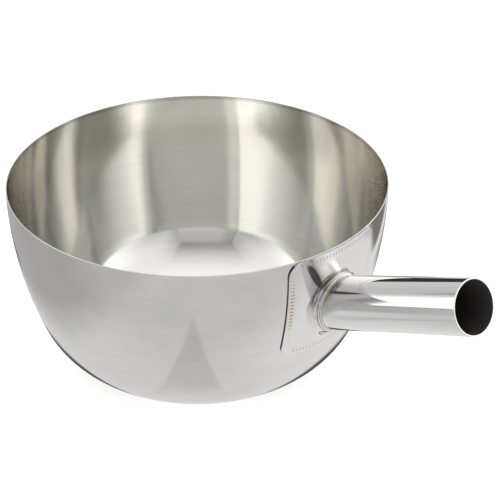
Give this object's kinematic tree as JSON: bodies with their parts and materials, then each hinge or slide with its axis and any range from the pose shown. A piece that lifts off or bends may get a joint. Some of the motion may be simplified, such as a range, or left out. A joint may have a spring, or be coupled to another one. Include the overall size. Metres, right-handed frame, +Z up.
{
  "type": "melting pot",
  "caption": "Deep round-bottomed steel melting pot with a hollow tube handle on a welded saddle plate, for melting wax over a pan of hot water.",
  "frame": {"origin": "centre of the bowl's flat underside", "axes": "+Z up through the open mouth of the bowl, +X from the bowl's axis towards the open end of the handle, +Y completes the right-handed set"},
  "size_m": [0.3481, 0.24, 0.1443],
  "materials": {
    "brushed_sheet": "spun and finely brushed inside, polished outside",
    "polished_sheet": "bright polished stainless steel",
    "polished_tube": "mirror polished along its length",
    "weld_bead": "dressed and polished weld",
    "seam_spots": "rippled seam weld with straw heat tint"
  },
  "bodies": {
    "root": {"bowl": "brushed_sheet", "handle_saddle": "polished_sheet", "handle_tube": "polished_tube", "tube_weld": "weld_bead", "seam_weld_left": "seam_spots", "seam_weld_right": "seam_spots", "seam_weld_top": "seam_spots", "seam_weld_bottom": "seam_spots"}
  },
  "joints": []
}
